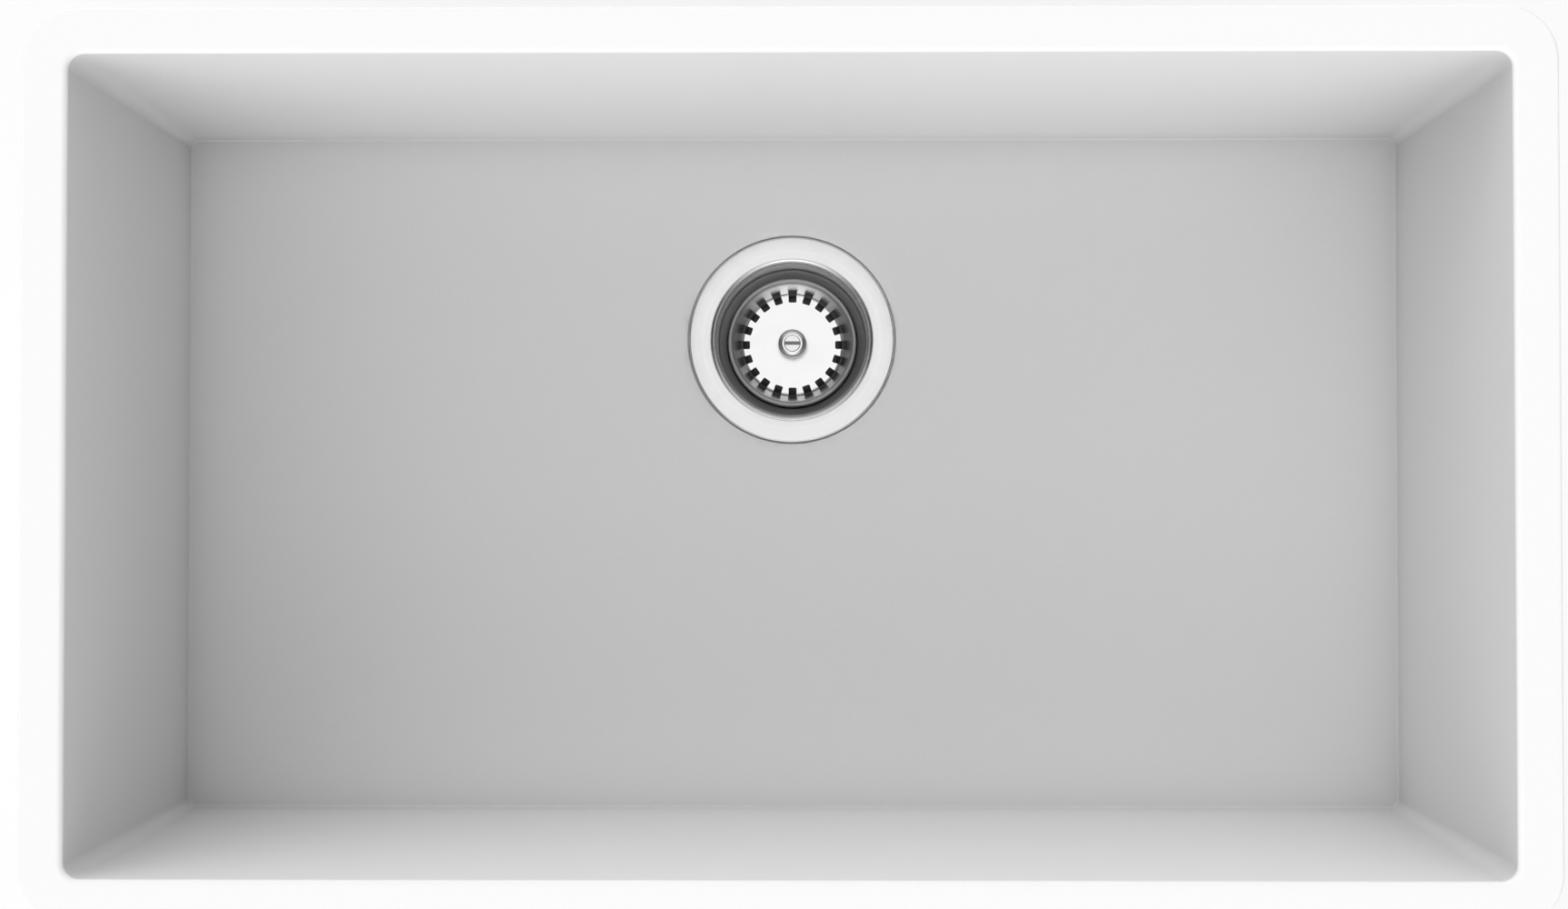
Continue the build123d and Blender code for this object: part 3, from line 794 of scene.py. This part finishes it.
def crisp_skin(point):
    """Place of a point of the walls, the rim or the foot fillet, or None."""
    x, y, z = point
    radius = corner_at(FRAME_CORNER, z)
    gap_x, gap_y = wall_gaps(x, y, z)
    at_corner = max(gap_x, gap_y) < radius + NEAR
    depth = min(gap_x, gap_y)
    if at_corner:
        depth = radius - math.hypot(radius - gap_x, radius - gap_y)
    if z < FOOT_Z - NEAR or not SKIN[0] < depth < SKIN[1]:
        return None
    angle = math.atan2(radius - gap_y, radius - gap_x)
    if z < FOOT_Z + FOOT_WIDTH and depth > -NEAR:
        depth *= FOOT_SHARE
        z = FOOT_Z + (z - FOOT_Z) * FOOT_SHARE
    if at_corner:
        radius = corner_at(CRISP_CORNER, z)
        gap_x = radius - (radius - depth) * math.cos(angle)
        gap_y = radius - (radius - depth) * math.sin(angle)
        return beside_walls(x, y, z, gap_x, gap_y)
    moved = beside_walls(x, y, z, depth, depth)
    return Vector((x, moved.y, z)) if gap_y < gap_x else Vector((moved.x, y, z))


def crisp_floor(point):
    """Place of a point where the floor falls from a rounded corner to the level patch."""
    x, y, z = point
    share = (FOOT_Z - z) / FLOOR_FALL
    if not 0.0 <= share < 1.0 or min(wall_gaps(x, y, z)) < FOOT_WIDTH:
        return point
    drift = FOOT_Z * WALL_LEAN
    old, new = FRAME_CORNER[1], CRISP_CORNER[1]
    far_x, far_y = HALF_LENGTH + drift - old, HALF_WIDTH + drift - old
    near = PATCH_HALF - PATCH_CORNER
    for side_x in (-1, 1):
        for side_y in (-1, 1):
            start = Vector((side_x * far_x, side_y * far_y))
            end = Vector((side_x * near, DRAIN_Y + side_y * near))
            arm = Vector((x, y)) - start.lerp(end, share)
            if arm.x * side_x > -NEAR and arm.y * side_y > -NEAR:
                shift = Vector((side_x, side_y)) * (old - new)
                shift += arm.normalized() * ((new - FOOT_WIDTH * FOOT_SHARE) - (old - FOOT_WIDTH))
                shift *= 1.0 - share
                return Vector((x + shift.x, y + shift.y, z))
    return point


def crisp(point):
    """Place of a point of the bowl once its inner corners and its foot fillet are tighter."""
    return crisp_skin(point) or crisp_floor(point)


moulding = bmesh.new()
moulding.from_mesh(nodes["sink_bowl"].data)
bmesh.ops.remove_doubles(moulding, verts=moulding.verts, dist=MERGE)
for vertex in moulding.verts:
    vertex.co = crisp(vertex.co)
bowl = mesh_object("bowl_moulding", moulding)
even = bowl.modifiers.new("even_faces", "WEIGHTED_NORMAL")
even.keep_sharp = True
stand_for(bowl, "sink_bowl", SINK)

# ---- studio -------------------------------------------------------------------------

FLOOR_SIZE = 6.0
FLOOR_TONE = 0.85
FLOOR_WHITE = 0.66  # share of plain white that the camera and shiny things see in it


def studio_floor():
    """Pale floor, white to the camera with a soft shadow, and clear from below."""
    bpy.ops.mesh.primitive_plane_add(size=FLOOR_SIZE, location=(0.0, 0.0, cad_box[0].z))
    floor = bpy.context.object
    floor.name = "studio_floor"
    material = bpy.data.materials.new("studio_white")
    g = Graph(material)
    path = g.node("ShaderNodeLightPath")
    seen = g.math("MAXIMUM", path.outputs["Is Camera Ray"], path.outputs["Is Glossy Ray"])
    seen = g.math("MAXIMUM", seen, path.outputs["Is Transmission Ray"])
    matt = g.node("ShaderNodeBsdfDiffuse", {"Color": grey(FLOOR_TONE)})
    white = g.node("ShaderNodeEmission", {"Color": grey(1.0), "Strength": 1.0})
    share = g.math("MULTIPLY", seen, FLOOR_WHITE)
    mixed = g.node("ShaderNodeMixShader", {0: share, 1: matt.outputs[0], 2: white.outputs[0]})
    clear = g.node("ShaderNodeBsdfTransparent")
    below = g.node("ShaderNodeNewGeometry").outputs["Backfacing"]
    sided = g.node("ShaderNodeMixShader", {0: below, 1: mixed.outputs[0], 2: clear.outputs[0]})
    out = g.node("ShaderNodeOutputMaterial")
    g.tree.links.new(sided.outputs[0], out.inputs["Surface"])
    floor.data.materials.append(material)


# Soft light from low all round, most of it from the front and the back, and a small
# white patch overhead. Metal sees lights of its own in front and behind, dark sides, the
# same patch, and a white horizon. Rows are azimuth and elevation in degrees, sharpness and
# strength. PATCH_EDGE and HORIZON_BAND are heights on a sphere of radius 1.
SKY_BASE = 0.045
SKY_PATCH = 1.10
SKY_LOBES = (
    (-90.0, 14.0, 4.0, 2.63),
    (-90.0, 45.0, 8.0, 1.13),
    (90.0, 14.0, 4.0, 2.36),
    (90.0, 45.0, 8.0, 0.16),
    (135.0, 35.0, 6.0, 1.44),
    (-135.0, 35.0, 6.0, 0.57),
    (0.0, 6.0, 12.0, 0.76),
)
METAL_SKY_BASE = 0.05
METAL_SKY_LOBES = ((-90.0, 38.0, 8.0, 2.0), (90.0, 38.0, 8.0, 1.8))
PATCH_EDGE = (0.955, 0.985)
HORIZON_BAND = (0.15, 0.35)


def lobes(g, way, base, table):
    """Brightness of a sky in one direction, from its base and its soft lights."""
    level = base
    for azimuth, elevation, sharpness, strength in table:
        aim = Vector((math.cos(math.radians(elevation)), 0.0, math.sin(math.radians(elevation))))
        aim.rotate(Matrix.Rotation(math.radians(azimuth), 3, "Z"))
        facing = g.node("ShaderNodeVectorMath", {0: way, 1: aim}, operation="DOT_PRODUCT")
        glow = g.math("POWER", g.math("MAXIMUM", facing.outputs["Value"], 0.0), sharpness)
        level = g.math("MULTIPLY_ADD", glow, strength, level)
    return level


def sky():
    """World that lights the sink, and is white where the camera sees it."""
    world = bpy.data.worlds.new("studio_sky")
    bpy.context.scene.world = world
    g = Graph(world)
    way = g.node("ShaderNodeTexCoord").outputs["Generated"]
    height = g.node("ShaderNodeSeparateXYZ", {0: way}).outputs["Z"]
    path = g.node("ShaderNodeLightPath")
    gloss = g.math("MAXIMUM", path.outputs["Is Glossy Ray"], path.outputs["Is Transmission Ray"])
    level = g.blend_value(
        gloss, lobes(g, way, SKY_BASE, SKY_LOBES), lobes(g, way, METAL_SKY_BASE, METAL_SKY_LOBES)
    )
    level = g.math("MULTIPLY_ADD", g.ramp(height, *PATCH_EDGE, smooth=True), SKY_PATCH, level)
    horizon = g.math("MULTIPLY", gloss, g.ramp(height, *HORIZON_BAND, 1.0, 0.0, smooth=True))
    seen = g.math("MAXIMUM", path.outputs["Is Camera Ray"], horizon)
    strength = g.blend_value(seen, level, 1.0)
    background = g.node("ShaderNodeBackground", {"Color": grey(1.0), "Strength": strength})
    out = g.node("ShaderNodeOutputWorld")
    g.tree.links.new(background.outputs[0], out.inputs["Surface"])


studio_floor()
sky()

# ---- camera: straight above, a little in front, as the photograph was taken -----------

CAMERA_PLACE = (0.0144, -0.0268, 1.2893)
TILT_X, TILT_Y = math.radians(-1.41), math.radians(-0.72)
FOCAL_PIXELS = 2944.3
PHOTO_WIDTH = 1725.0

camera_data = bpy.data.cameras.new("camera")
camera = bpy.data.objects.new("camera", camera_data)
bpy.context.collection.objects.link(camera)
camera_data.sensor_width = 36.0
camera_data.lens = FOCAL_PIXELS / PHOTO_WIDTH * camera_data.sensor_width
camera_data.clip_end = 100.0
to_camera = Matrix.Rotation(TILT_X, 4, "X") @ Matrix.Rotation(TILT_Y, 4, "Y")
camera.matrix_world = Matrix.Translation(Vector(CAMERA_PLACE)) @ to_camera.inverted()
bpy.context.scene.camera = camera

bpy.context.scene.view_settings.view_transform = "Standard"
